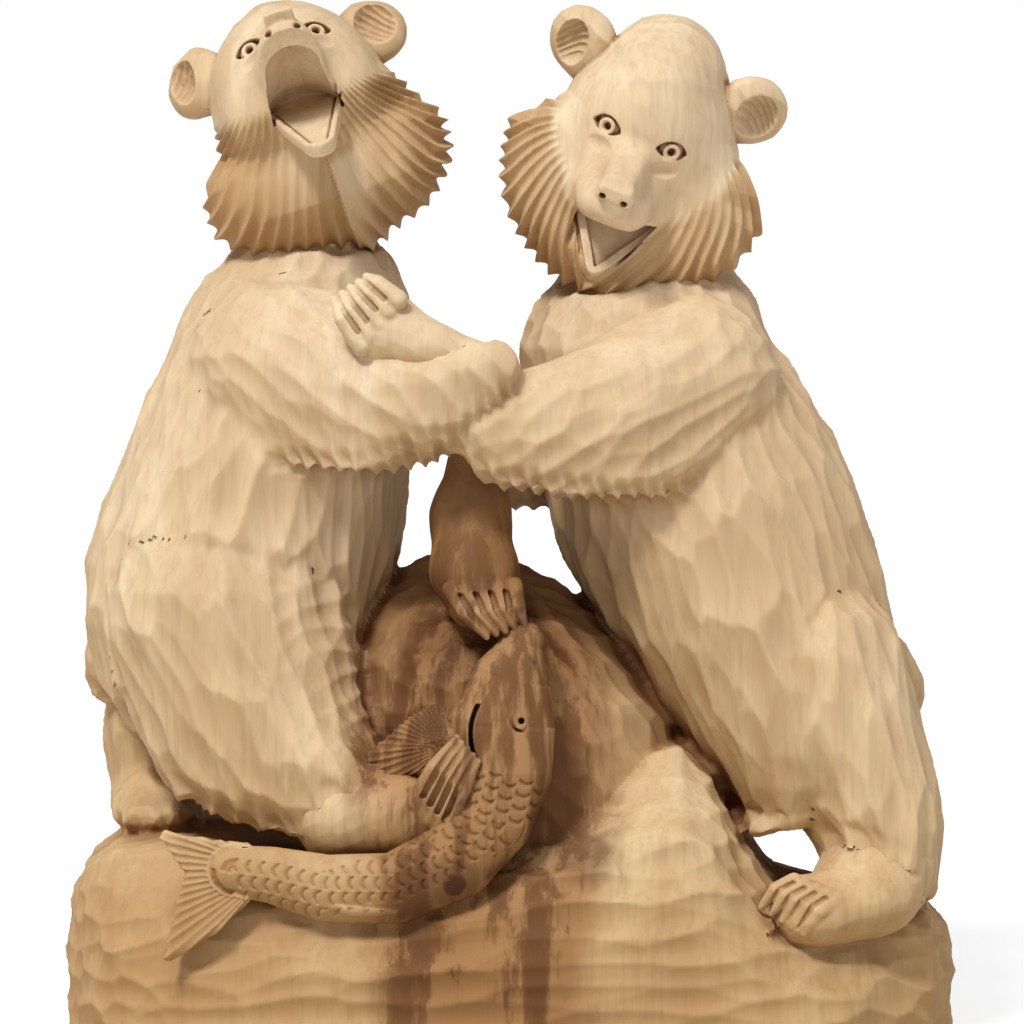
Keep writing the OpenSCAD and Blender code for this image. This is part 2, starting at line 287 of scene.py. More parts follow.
def skins(lattice, field, label):
    """Surface nets for several labels at once: 0 is air. Neighbouring pieces share their seam's
    vertices, so the outside runs on across a seam. Returns vertices, quads and both labels."""
    nx, ny, nz = label.shape
    views = [label[i:nx - 1 + i, j:ny - 1 + j, k:nz - 1 + k] for i, j, k in CORNER]
    low, high = views[0].copy(), views[0].copy()
    for v in views[1:]:
        np.minimum(low, v, out=low)
        np.maximum(high, v, out=high)
    cells = np.argwhere(low != high)
    index = np.full((nx - 1, ny - 1, nz - 1), -1, np.int32)
    index[tuple(cells.T)] = np.arange(len(cells), dtype=np.int32)
    flat_f, flat_l = field.ravel(), label.ravel()
    base = (cells[:, 0] * ny + cells[:, 1]) * nz + cells[:, 2]
    shift = (CORNER[:, 0] * ny + CORNER[:, 1]) * nz + CORNER[:, 2]
    f = [flat_f[base + s] for s in shift]
    l = [flat_l[base + s] for s in shift]
    # Where the skin and the seams cross the cell's edges, on average: [outer, inner].
    total = [np.zeros((len(cells), 3), np.float32) for _ in range(2)]
    count = [np.zeros(len(cells), np.float32) for _ in range(2)]
    for a, b in EDGES:
        crosses = (l[a] == 0) != (l[b] == 0)
        t = np.where(crosses, f[a] / np.where(f[a] == f[b], 1, f[a] - f[b]), 0.5)
        at = CORNER[a] + clamp(t)[:, None] * (CORNER[b] - CORNER[a])
        for kind, met in enumerate((crosses, (l[a] != l[b]) & ~crosses)):
            total[kind] += np.where(met[:, None], at, 0)
            count[kind] += met
    is_outer = count[0] > 0
    outer, inner = (total[kind] / np.maximum(count[kind], 1)[:, None] for kind in range(2))
    spot = np.where(is_outer[:, None], outer, inner)
    vertices = lattice.low + (cells + spot) * lattice.step
    quads, first, second = [], [], []
    for axis in range(3):
        u, v = (axis + 1) % 3, (axis + 2) % 3
        near = [slice(1, n - 1) for n in label.shape]
        far = list(near)
        near[axis], far[axis] = slice(0, label.shape[axis] - 1), slice(1, label.shape[axis])
        a, b = label[tuple(near)], label[tuple(far)]
        at = np.argwhere(a != b)
        la, lb = a[tuple(at.T)], b[tuple(at.T)]
        at[:, u] += 1
        at[:, v] += 1
        corner = []
        for du, dv in ((-1, -1), (0, -1), (0, 0), (-1, 0)):
            c = at.copy()
            c[:, u] += du
            c[:, v] += dv
            corner.append(index[tuple(c.T)])
        quads.append(np.stack(corner, 1))
        first.append(la)
        second.append(lb)
    return vertices, np.concatenate(quads), np.concatenate(first), np.concatenate(second), is_outer


def vertex_normals(vertices, quads):
    a, b, c, d = (vertices[quads[:, i]] for i in range(4))
    n = np.cross(c - a, d - b)
    out = np.zeros((len(vertices), 3))
    for axis in range(3):
        for i in range(4):
            out[:, axis] += np.bincount(quads[:, i], n[:, axis], len(vertices))
    return unit(out, 1e-9)


def solidity(lattice, field, spread):
    """How full the space around each lattice point is, from 0 in the open to 1 inside."""
    return gauss(clamp(0.5 - field / lattice.step), spread / lattice.step)


def downhill(lattice, field, p):
    """Gradient of a field at any points."""
    e = 0.5 * lattice.step
    ways = e * np.eye(3)
    return np.stack([lattice.sample(field, p + way) - lattice.sample(field, p - way)
                     for way in ways], 1) / (2 * e)


def carve(lattice, field, label, names, cut, tuck, cut_shade=0.03, fur_shade=()):
    """Takes the skins off a lattice, cuts them with cut(points, normals) -> height, and makes one
    object for each name. Labels without a name are neighbours that another lattice makes. Inside,
    seams are tucked so far under the skin that no cut reaches them."""
    vertices, quads, la, lb, is_outer = skins(lattice, field, label)
    outside = (la == 0) | (lb == 0)
    turned = np.where((la == 0)[:, None], quads[:, ::-1], quads)[outside]
    # One step of Newton's method puts the vertices on the skin.
    on, under = np.flatnonzero(is_outer), np.flatnonzero(~is_outer)
    p = vertices[on]
    slope = downhill(lattice, field, p)
    size = np.maximum(np.einsum("ij,ij->i", slope, slope), 0.15)
    move = -(lattice.sample(field, p) / size)[:, None] * slope
    vertices[on] += clamp(move, -0.6 * lattice.step, 0.6 * lattice.step)
    p = vertices[under]
    slope = unit(downhill(lattice, field, p), 0.3)
    vertices[under] -= clamp(tuck + lattice.sample(field, p), 0, tuck)[:, None] * slope
    normals = vertex_normals(vertices, turned)
    height = cut(vertices[on].astype(np.float32), normals[on].astype(np.float32))
    spread = 2.2 * lattice.step
    full = solidity(lattice, field, spread)
    # What the material is told: how sheltered a place is, near to and further off, which it paints as
    # shade in hollows and as highlight on crisp edges, and its fur.
    layers = {layer: np.zeros(len(vertices), np.float32) for layer in ("near", "wide", "fur")}
    for shade in fur_shade:
        layers["fur"][on] = shade
    around, fullness = AROUND
    p = vertices[on]
    # Deeper cuts count as more sheltered, so their beds get more painted shade and their ridges more
    # painted highlight.
    layers["near"][on] = lattice.sample(full, p + spread * normals[on]) - 0.16 - cut_shade * height
    layers["wide"][on] = around.sample(fullness, p + 7.0 * normals[on]) - 0.16
    vertices[on] += height[:, None] * normals[on]
    vertices[:, 2] = np.maximum(vertices[:, 2], 0)
    normals = vertex_normals(vertices, turned)
    made = {}
    for number, name in names.items():
        mine_a, mine_b = la == number, lb == number
        faces = np.concatenate([quads[mine_a], quads[mine_b][:, ::-1]])
        cap = np.concatenate([lb[mine_a] != 0, la[mine_b] != 0])
        # A seam's quad with one deep corner is folded along the line from it, so that it hangs
        # under the skin. One with every corner on the skin is skin, for the piece it faces out of.
        corners = is_outer[faces].sum(1)
        folded = cap & (corners == 3)
        turns = np.argmin(is_outer[faces[folded]], 1)[:, None] + np.arange(4)
        ring = np.take_along_axis(faces[folded], turns % 4, 1)
        halves = np.concatenate([ring[:, [0, 1, 2]], ring[:, [0, 2, 3]]])
        flush = cap & (corners == 4)
        a, b, c, d = (vertices[faces[flush, i]] for i in range(4))
        facing = np.einsum("ij,ij->i", np.cross(c - a, d - b), normals[faces[flush]].sum(1)) > 0
        keep = ~folded
        keep[np.flatnonzero(flush)[~facing]] = False
        cap[flush] = False
        faces, cap = faces[keep], cap[keep]
        made[name] = piece(name, vertices, normals, layers, faces, cap, halves)
    return made


def piece(name, vertices, normals, layers, quads, cap, halves):
    """One closed mesh of quads and folded seam triangles, shaded smooth outside and flat on caps."""
    used, local = np.unique(np.concatenate([quads.ravel(), halves.ravel()]), return_inverse=True)
    loops = local.ravel()
    square, corner = loops[:quads.size].reshape(-1, 4), loops[quads.size:].reshape(-1, 3)
    co = (vertices[used] / MM).astype(np.float32)
    me = bpy.data.meshes.new(name + "_carved")
    me.vertices.add(len(co))
    me.vertices.foreach_set("co", co.ravel())
    me.loops.add(len(loops))
    me.loops.foreach_set("vertex_index", loops.astype(np.int32))
    me.polygons.add(len(square) + len(corner))
    starts = np.concatenate([np.arange(0, square.size, 4), np.arange(square.size, len(loops), 3)])
    me.polygons.foreach_set("loop_start", starts.astype(np.int32))
    me.polygons.foreach_set("use_smooth", np.ones(len(starts), bool))
    me.update(calc_edges=True)
    for label, values in layers.items():
        layer = me.attributes.new(label, "FLOAT", "POINT")
        layer.data.foreach_set("value", values[used].astype(np.float32))
    flat = unit(np.cross(co[square[:, 2]] - co[square[:, 0]], co[square[:, 3]] - co[square[:, 1]]))
    fold = unit(np.cross(co[corner[:, 1]] - co[corner[:, 0]], co[corner[:, 2]] - co[corner[:, 0]]))
    skin = np.where(cap[:, None, None], flat[:, None, :], normals[used][square])
    loop_normals = np.concatenate([skin.reshape(-1, 3), np.repeat(fold, 3, 0)])
    me.normals_split_custom_set(loop_normals.astype(np.float32))
    ob = bpy.data.objects.new(name + "_carved", me)
    bpy.context.scene.collection.objects.link(ob)
    return ob


# ---------------------------------------------------------------- bodies, boulder and base


HEAD_NODES = [n for n in SLOT if any(w in n for w in ("head", "jaw", "_ear_"))]
FINE_NODES = [n for n in SLOT if any(w in n for w in ("fish", "paw", "foot"))]
BODY_NODES = [n for n in SLOT if n not in HEAD_NODES + FINE_NODES]


def box_of(nodes):
    """Low and high corner of the box around some blanks."""
    boxes = np.array([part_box(node) for node in nodes]) * MM
    return boxes[:, 0].min(0), boxes[:, 1].max(0)


def hem(part, values, p, way, drop):
    """1 on fur that ends within drop, going the given way, and 0 well before its edge."""
    way = np.asarray(way, np.float32)
    beyond = part.sample(values, p + drop * way / np.linalg.norm(way))
    return smooth(beyond / 9.0)


def frame_along(flow):
    """Three unit vectors, the last along flow."""
    w = np.asarray(flow, float)
    w = w / np.linalg.norm(w)
    u = np.cross(w, [0.13, -0.99, 0.05])
    u /= np.linalg.norm(u)
    return np.stack([u, np.cross(w, u), w]).astype(np.float32)


# How each blank is cut: flow of the cuts, their width, length and depth, then the edges that
# are split into locks of fur: (way to the edge, way along the edge, pitch, height, depth).
DOWN = (0, 0, -1)
ARM_HEM, LEG_HEM = (DOWN, (1, 0, 0), 8.0, 13, 3.4), (DOWN, (1, 0.2, 0), 11.0, 14, 3.6)
BACK_HEM, TAIL_HEM = (DOWN, (1, 0, 0), 9.0, 14, 2.4), (DOWN, (1, 1, 0), 6.0, 12, 2.0)
SIDE_HEM = (1, 0, 0), (0, 0, 1), 12.0, 6, 2.6
CUTS = {
    "base": ((1.0, 0.1, 0.05), 13, 80, 5.5, ()),
    "boulder": ((0.5, 0.2, -0.6), 13, 24, 5.5, ()),
    "left_bear_torso": ((-0.15, 0.15, -1.0), 12, 44, 5.5, ()),
    "right_bear_torso": ((0.25, 0.15, -1.0), 12, 44, 5.5, ()),
    "left_bear_front_arm": ((0.75, -0.3, -0.6), 11, 40, 3.6, (ARM_HEM,)),
    "left_bear_back_arm": ((0.8, 0.3, -0.5), 11, 40, 3.6, (BACK_HEM,)),
    "right_bear_front_arm": ((-0.8, -0.3, -0.5), 11, 40, 3.6, (ARM_HEM,)),
    "right_bear_back_arm": ((-0.7, 0.1, -0.6), 11, 40, 3.6, (BACK_HEM,)),
    "left_bear_front_leg": ((0.35, -0.3, -0.9), 12, 44, 5.5, (LEG_HEM, SIDE_HEM)),
    "left_bear_back_leg": ((-0.1, -0.2, -1.0), 11, 40, 5.0, (BACK_HEM,)),
    "right_bear_front_leg": ((0.1, -0.2, -1.0), 12, 44, 5.5, (LEG_HEM,)),
    "right_bear_back_leg": ((0.2, -0.1, -1.0), 11, 40, 5.0, (BACK_HEM,)),
    "left_bear_tail": ((-0.1, 0.0, -1.0), 8, 26, 3.5, (TAIL_HEM,)),
    "right_bear_tail": ((0.2, 0.0, -1.0), 8, 26, 3.5, (TAIL_HEM,)),
}


# The bodies' lattice: room around the blanks, how far distances are kept, how round edges get, and
# which share of the points are kept to tell how sheltered a place is, for painted shade: [lattice,
# solidity].
BODY_MARGIN, BAND, SOFTENING, EVERY = 6, 10.0, 1.3, 3
AROUND = []
# How a body reaches into the blanks of finer pieces: (reach, depth) as join takes them.
YIELDS = {node: (2.0, 1.5) for node in FINE_NODES} | {node: (8.0, 11.0) for node in HEAD_NODES}


def carve_bodies():
    low, high = np.array(cad_box) * MM
    lattice = Lattice.over(low - BODY_MARGIN, high + BODY_MARGIN, COARSE)
    order = BODY_NODES + FINE_NODES + HEAD_NODES
    parts = blanks(order, lattice, BAND)
    union, owner = join(parts, lattice, BAND, YIELDS)
    field = gauss(union, SOFTENING / COARSE)
    label = np.where(field < 0, owner + 1, 0).astype(np.int8)
    names = {order.index(n) + 1: n for n in BODY_NODES}
    thin = np.ascontiguousarray(field[::EVERY, ::EVERY, ::EVERY])
    rough = Lattice(lattice.low, EVERY * COARSE, thin.shape)
    AROUND.extend([rough, solidity(rough, thin, 7.0)])

    def blank(node):
        box, values = parts[node]
        start = np.array([side.start for side in box])
        return Lattice(lattice.low + lattice.step * start, lattice.step, values.shape), values

    def inside_box(part, p):
        far = part.low + part.step * (np.array(part.shape) - 1)
        return np.flatnonzero(np.all((p > part.low) & (p < far), axis=1))

    def cut(p, normals):
        # Weights fall off with the distance to each blank, so one texture fades into the next.
        total, summed = np.full(len(p), 1e-3, np.float32), np.zeros(len(p), np.float32)
        for seed, (name, (flow, width, run, depth, edges)) in enumerate(CUTS.items()):
            part, values = blank(name)
            near = inside_box(part, p)
            d = part.sample(values, p[near])
            near, d = near[d < 4], d[d < 4]
            q = p[near]
            weight = np.exp(-clamp(d, 0, 9) / 0.8)
            local = q @ frame_along(flow).T
            local += 3.0 * np.stack([value_noise(q, 32, 7 + a) for a in range(3)], 1)
            height = depth * (scoops(local, (width, width, run), seed) - 0.5)
            for way, along, pitch, tall, flutes in edges:
                grow = hem(part, values, q, way, tall)
                if "leg" in name:
                    # A leg's fur ends neither at its trunk nor at its foot.
                    trunk, torso = blank(name.split("_bear_")[0] + "_bear_torso")
                    grow = grow * hem(trunk, torso, q, way, tall)
                    if "front" in name:
                        foot, toes = blank(name.replace("leg", "foot"))
                        at = inside_box(foot, q)
                        grow[at] *= smooth(foot.sample(toes, q[at]) / 10)
                along = np.asarray(along, np.float32)
                lean = 0.35 * (q @ (np.cross(along, (0, 1, 0)).astype(np.float32)))
                t = (q @ along + lean) / pitch + 0.5 * value_noise(q, 24, 5)
                uneven = 0.7 + 0.5 * hash01(np.floor(t).astype(np.int64), 0, 3, seed)
                height -= flutes * grow * (1 - flute(t)) * uneven
            total[near] += weight
            summed[near] += weight * height
        height = summed / total
        # The neck is cut back under the overhanging ruff.
        for head in ("left_bear_head", "right_bear_head"):
            part, values = blank(head)
            near = inside_box(part, p)
            height[near] -= 5.0 * smooth(1 - part.sample(values, p[near]) / 9.0)
        return height

    return carve(lattice, field, label, names, cut, 5.0)


# ---------------------------------------------------------------- heads


def turn(roll, pitch, yaw):
    """Columns are a leaning, nodding, turned head's own axes."""
    r = Matrix.Rotation(np.radians(roll), 3, "Y")
    r = r @ Matrix.Rotation(np.radians(-pitch), 3, "X") @ Matrix.Rotation(np.radians(-yaw), 3, "Z")
    return np.array(r, np.float32)


class Head:
    """One bear's head. Lengths are from the skull's middle along the head's own axes.

    offset: the skull's middle from the middle of the head's blank
    pose, drop: how far the head leans, nods and turns, and how far its jaw drops, in degrees
    ear_turn: how far each ear is turned outward
    fans, parting: centres that the ruff's locks fan out from on both sides of its parting
    hinge, up: the jaw's hinge, and how far the muzzle's bridge is raised
    jaw: half its width at the hinge, its taper, length, middle, rim and tongue's depth
    blunt, thick: the rounding of the jaw's tip and half its height
    edge: the lip's height at the mouth's corners, and its rise towards the front
    outline, mask: the ruff's reach, and where its locks begin, at angles from straight down
    """

    def __init__(self, bear, shape):
        self.bear = bear
        self.laughs = bear == "left_bear"
        self.__dict__.update(shape)
        low, high = box_of([bear + "_head"])
        self.middle = ((low + high) / 2 + self.offset).astype(np.float32)
        self.axes, self.lean = turn(*self.pose), turn(self.pose[0], 0, 0)
        self.drop = np.radians(self.drop)
        self.hinge = np.array(self.hinge, np.float32)
        self.outline = np.array(self.outline, np.float32)

    def local(self, p):
        return (p - self.middle) @ self.axes


HEADS = {
    "left_bear": dict(
        offset=(-9.77, 15.19, 19.92), pose=(-19, 30, -5), drop=55, ear_turn=(40, 8),
        fans=((-14, 22), (20, 10)), parting=5.0, hinge=(0, -17, -28.5), up=2,
        jaw=(19.0, 0.25, 52.5, 1.5, 2.8, 1.2), blunt=7.5, thick=4.0, edge=(-30.0, 0.24),
        outline=((-180, 46), (-115, 42), (-90, 46), (-75, 62), (-60, 69), (-40, 67), (-10, 61),
                 (5, 60), (22, 63), (42, 69), (62, 71), (77, 67), (90, 55), (115, 46), (180, 46)),
    ),
    "right_bear": dict(
        offset=(10.75, 11.86, 22.23), pose=(21, -24, 3), drop=39, ear_turn=(20, 14),
        fans=((-3, -16), (6, 2)), parting=-2.0, hinge=(0, -17, -33), up=0,
        jaw=(34.5, 0.58, 57.0, 3.2, 4.4, 3.4), blunt=5.0, thick=6.5, edge=(-37.0, 0.0),
        outline=((-180, 46), (-114, 42), (-100, 52), (-86, 64), (-55, 67), (-30, 69), (0, 72),
                 (12, 74), (32, 69), (58, 72), (78, 72), (92, 65), (106, 54), (120, 46), (180, 46)),
        mask=((-180, 99), (-132, 99), (-112, 46), (-90, 38), (-53, 29), (0, 27), (48, 31),
              (71, 34), (100, 42), (118, 49), (134, 99), (180, 99)),
    ),
}


def ruff_share(head, q):
    """Distance from the ruff's middle as a share of its outline, and that outline's reach."""
    x, z = q[:, 0], q[:, 2] + 25
    reach = np.interp(np.degrees(np.arctan2(x, -z)), *head.outline.T).astype(np.float32)
    return np.hypot(x, z) / reach, reach


def ruff_form(head, q):
    """The collar of fur in the leaning frame: a thick dish with the outline's shape."""
    share, reach = ruff_share(head, q)
    deep = 34.0
    y = (q[:, 1] + 1 - 9 * clamp((q[:, 2] + 30) / 30, -1, 0)) / deep
    k0 = np.sqrt(share ** 2 + y * y)
    k1 = np.sqrt((share / reach) ** 2 + (y / deep) ** 2)
    dish = k0 * (k0 - 1) / np.maximum(k1, 1e-4)
    return dish if head.laughs else smax(dish, -q[:, 1] - 26, 6)


def skull_form(head, p):
    """Skull, narrower at the crown, and muzzle."""
    up = head.up
    crown = egg(p, (0, 2, 5), (34, 41, 35)) if head.laughs else egg(p, (-1, 2, 9), (32, 42, 37))
    skull = smin(crown, egg(p, (0, 2, -4), (41, 42, 34)), 9)
    skull = smin(skull, egg(p, (0, -18, -7), (35, 24, 30)), 10)
    if head.laughs:
        muzzle = smin(egg(p, (0, -34, -16), (19, 24, 19)), egg(p, (0, -59, -18), (13.5, 17, 12)), 8)
    else:
        muzzle = smin(egg(p, (0, -33, -21), (25, 20, 18)), egg(p, (0, -52, -28), (19.5, 23, 12)), 9)
    bridge = rod(p, (0, -30, -7 + up), (0, -67, -18 + up), 11.0, 9.0)
    bridge = smax(bridge, p[:, 2] - 2.6 - up + 0.34 * (-p[:, 1] - 30), 1.5)
    return smin(smin(skull, muzzle, 8), bridge, 4)


def cheek_form(m):
    return egg(m, (21, -12, -24), (17, 21, 17))


def mirrored(p):
    m = p.copy()
    m[:, 0] = np.abs(m[:, 0])
    return m


# The right eye's middle, and the axes out of the face, along the lids and up across them.
EYE = np.array([16.5, -39.3, -1.0], np.float32)
EYE_OUT = np.array([0.30, -0.94, 0.12], np.float32) / np.linalg.norm([0.30, -0.94, 0.12])
EYE_SIDE = np.cross(np.array([0, 0, 1]), -EYE_OUT)
EYE_SIDE = (EYE_SIDE / np.linalg.norm(EYE_SIDE)).astype(np.float32)
EYE_UP = np.cross(EYE_OUT, EYE_SIDE)
EYE_UP = EYE_UP * np.sign(EYE_UP[2])


def eye_axes(m):
    """Offsets from the eye's middle along its lids, up across them and out of the face."""
    q = m - EYE
    return q @ EYE_SIDE, q @ EYE_UP, q @ EYE_OUT


def eye_form(m, d):
    """Cuts an almond opening with a ringed eyeball and a drilled pupil into the face."""
    near = length(m - EYE) < 16
    s, u, n = eye_axes(m[near])
    half, tall, low = 8.2, 5.4, 3.6
    r_up, r_low = (half * half / tall + tall) / 2, (half * half / low + low) / 2
    almond = np.maximum(np.hypot(s, u - (tall - r_up)) - r_up, np.hypot(s, u + (low - r_low)) - r_low)
    opening = smax(almond + 0.18 * np.maximum(-n, 0), -n - 4.0, 0.5)
    face = smax(d[near], -opening, 0.4)
    off = np.hypot(s, u)
    eyeball = smax(np.hypot(off, n + 6.6) - 7.2, almond - 0.6, 0.3)
    ring = np.hypot(off - 3.2, n - 0.2) - 1.15
    pupil = np.maximum(off - 1.9, -n - 5.0)
    eyeball = np.maximum(smax(smin(eyeball, ring, 0.5), -pupil, 0.3), -(n + 7))
    out = d.copy()
    out[near] = smin(face, eyeball, 0.25)
    return out


def eye_scoop(m):
    """Depth of the thumbnail cut under each lower lid."""
    s, u, n = eye_axes(m)
    bowl = clamp(1 - ((s - 1) / 7.5) ** 2 - ((u + 8.8) / 3.8) ** 2)
    return np.where(np.abs(n) < 8, 2.0 * bowl * smooth((-u - 4.5) / 1.2), 0)


def nose_form(p, m, d, open_nostrils):
    up = np.array([0, 0, 0 if open_nostrils else 2], np.float32)
    near = length(p - np.array([0, -72, -19], np.float32)) < 28
    q, w = p[near] - up, m[near] - up
    if open_nostrils:
        # A flattened pad with comma-shaped nostrils.
        pad = egg(q, (0, -72.5, -15.0), (8.5, 8.5, 6.5))
        pad = smin(pad, egg(w, (5.4, -73, -17.2), (4.6, 6.8, 4.8)), 1.2)
        pad = smax(smax(pad, -q[:, 1] - 78.5, 1.0), q[:, 2] + 11.2 - 0.3 * (q[:, 1] + 72), 0.8)
        cuts = [rod(w, (5.2, -81, -19.2), (5.6, -72, -18.6), 1.9, 1.5),
                rod(w, (6.6, -80, -18.6), (11.6, -75.5, -15.0), 1.7, 1.0),
                rod(w, (0, -80, -21.5), (5, -80, -20.5), 0.8, 0.8)]
    else:
        # A block, undercut at its lip and notched at both sides.
        box = np.abs(q - np.float32([0, -73, -15.5])) - np.float32([7.2, 6.5, 4.8]) + 1.2
        pad = length(np.maximum(box, 0)) + np.minimum(box.max(1), 0) - 1.2
        pad = smax(pad, -0.64 * (q[:, 1] + 79.5) - 0.77 * (q[:, 2] + 12), 0.6)
        cuts = [rod(w, (6.2, -82, -20.0), (7.2, -72, -18.5), 1.9, 1.5),
                rod(w, (0, -81.0, -21.4), (6, -81.0, -21.0), 1.0, 1.3)]
    out = d.copy()
    out[near] = smax(smin(d[near], pad, 0.6), -np.min(np.stack(cuts), 0), 0.5)
    return out


def jaw_frame(head, p):
    """Points as the dropped jaw sees them: -y towards its tip, z out of its trough."""
    c, s = np.cos(head.drop), np.sin(head.drop)
    q = p - head.hinge
    return np.stack([q[:, 0], q[:, 1] * c + q[:, 2] * s, -q[:, 1] * s + q[:, 2] * c], 1)


def jaw_plan(head, q, inset):
    """The jaw's blunt V seen square on."""
    half, taper, long, middle = head.jaw[:4]
    width = np.minimum(half - taper * clamp(-q[:, 1], 0, long), 22.5)
    r = head.blunt
    x = np.maximum(np.abs(q[:, 0] - middle) - width + r, 0) * np.cos(np.arctan(taper))
    y = np.maximum(np.maximum(-q[:, 1] - long + r, q[:, 1] - 6), 0)
    return np.hypot(x, y) - r + inset


def jaw_form(head, p):
    """The lower jaw: a blunt V trough with a rim and a tongue lying in it."""
    q = jaw_frame(head, p)
    rim, deep = head.jaw[4:]
    side = jaw_plan(head, q, 0) + 0.25 * clamp(0.5 - q[:, 2], 0, 9)
    body = smax(side, np.abs(q[:, 2] - 4.5 + head.thick) - head.thick, 1.5)
    trough = np.maximum(jaw_plan(head, q, rim), 4.5 - deep - 1.2 - q[:, 2])
    body = smax(body, -trough, 0.4)
    tongue = smax(jaw_plan(head, q, rim + 1.3), np.abs(q[:, 2] - 4.5 + deep + 3) - 3, 0.8)
    return smin(body, tongue, 0.3)


def mouth_form(head, p, m):
    """The open mouth: a vault under the lip's edge, the gape below it, and the jaw's own seat."""
    q = jaw_frame(head, p)
    x, y, z = m[:, 0], p[:, 1], p[:, 2]
    low, rise = head.edge
    above = z - (low - rise * clamp(y + 28, -46, 0))
    inside = jaw_plan(head, q, 0)
    if head.laughs:
        plan = np.hypot(x, 0.9 * np.maximum(-y - 52, 0)) - 17 + 0.13 * clamp(-y - 22, 0, 40)
        high, back = 11, 17
    else:
        plan = np.hypot(x, 0.9 * np.maximum(-y - 48, 0)) - 15
        high, back = 4, 22
    vault = smax(plan, above - high * np.sqrt(clamp(-plan / 12)), 1.0)
    gape = np.maximum(np.minimum(vault, np.maximum(above, inside)), 3.5 - q[:, 2])
    gape = smax(gape, y + back, 3.0)
    if head.laughs:
        # Nothing hangs below the raised lip.
        gape = np.minimum(gape, np.maximum(np.maximum(above, y + 40), x - 26))
    # The jaw lies in a seat, with a fine groove cut around its rim.
    seat = np.minimum(np.maximum(inside, 0.5 - q[:, 2]), np.maximum(inside - 1.3, 2.0 - q[:, 2]))
    return np.minimum(gape, np.maximum(seat, np.maximum(q[:, 2] - 9, above - 2)))


def ear_form(q, side, spin):
    """A round cup on the skull, hollowed on the face turned outward and fluted inside."""
    r = q - np.array([side * 44, 4, 17], np.float32)
    c, s = np.cos(np.radians(-side * spin)), np.sin(np.radians(-side * spin))
    r = np.stack([r[:, 0] * c - r[:, 1] * s, r[:, 0] * s + r[:, 1] * c, r[:, 2]], 1)
    cup = smin(egg(r, (0, 0, 0), (18, 9.5, 18)), egg(r, (-side * 10, 2, -8), (13, 8, 13)), 6)
    bowl = egg(r, (side * 2.5, -10.5, 0.0), (11.0 if side > 0 else 9.0, 8.5, 12.5))
    t = (r[:, 2] * 0.8 + r[:, 0] * side * 0.6 + 0.03 * r[:, 0] ** 2) / 3.6
    bowl = bowl + 1.3 * (flute(t) - 0.4) * clamp((r[:, 1] + 8) / 4)
    return smax(cup, -bowl, 0.5)


def ear_forms(head, q):
    return [ear_form(q, side, spin) for side, spin in zip((-1, 1), head.ear_turn)]


def lip_form(head, m):
    if head.laughs:
        return egg(m, (6.4, -56, -24), (8.4, 17.0, 8.4))
    return np.minimum(egg(m, (8.5, -54, -31), (9.5, 15.0, 8.0)), egg(m, (15, -36, -32), (8.5, 15, 10)))


def head_form(head, p):
    """Distances to the head, the jaw and the two ears."""
    q = head.local(p)
    m = mirrored(q)
    lean = (p - head.middle) @ head.lean
    face = smin(skull_form(head, q), cheek_form(m), 9)
    face = smin(face, lip_form(head, m), 5)
    face = smin(face, ruff_form(head, lean), 12)
    face = eye_form(m, face)
    face = nose_form(q, m, face, not head.laughs)
    jaw = jaw_form(head, q)
    face = smax(face, -mouth_form(head, q, m), 0.7)
    if not head.laughs:
        # The smile runs out into a drilled corner and a fold on each side.
        corner = rod(m, (20, -48, -38.5), (23, -26, -39), 0.9, 1.7)
        fold = rod(m, (23, -44, -36), (28, -28, -33), 1.1, 0.7)
        face = smax(face, -np.minimum(corner, fold), 0.8)
    return face, jaw, *ear_forms(head, q)


def sculpted(lattice, form):
    """Samples a form only in the blocks its skin passes through."""
    block = 4
    blocks = -(-np.array(lattice.shape) // block)
    middles = [low + lattice.step * (block * np.arange(n) + 1.5) for low, n in zip(lattice.low, blocks)]
    grid = np.stack(np.meshgrid(*middles, indexing="ij"), -1).reshape(-1, 3).astype(np.float32)
    rough = np.min(np.stack(form(grid)), 0).reshape(blocks)
    field = np.repeat(np.repeat(np.repeat(rough, block, 0), block, 1), block, 2)
    label = np.where(field < 0, 1, 0).astype(np.int8)
    near = np.argwhere(np.abs(rough) < lattice.step * block * 1.15 + 0.8)
    inner = np.stack(np.meshgrid(*[np.arange(block)] * 3, indexing="ij"), -1).reshape(-1, 3)
    batch = 12000
    for start in range(0, len(near), batch):
        index = (near[start:start + batch, None, :] * block + inner).reshape(-1, 3)
        p = (lattice.low + index * lattice.step).astype(np.float32)
        parts = np.stack(form(p))
        which = parts.argmin(0)
        best = parts.min(0)
        at = tuple(index.T)
        field[at] = best
        label[at] = np.where(best < 0, which + 1, 0)
    cut = tuple(slice(0, n) for n in lattice.shape)
    return np.ascontiguousarray(field[cut]), np.ascontiguousarray(label[cut])


HEAD_MARGIN, FORM_MARGIN = 14, 4


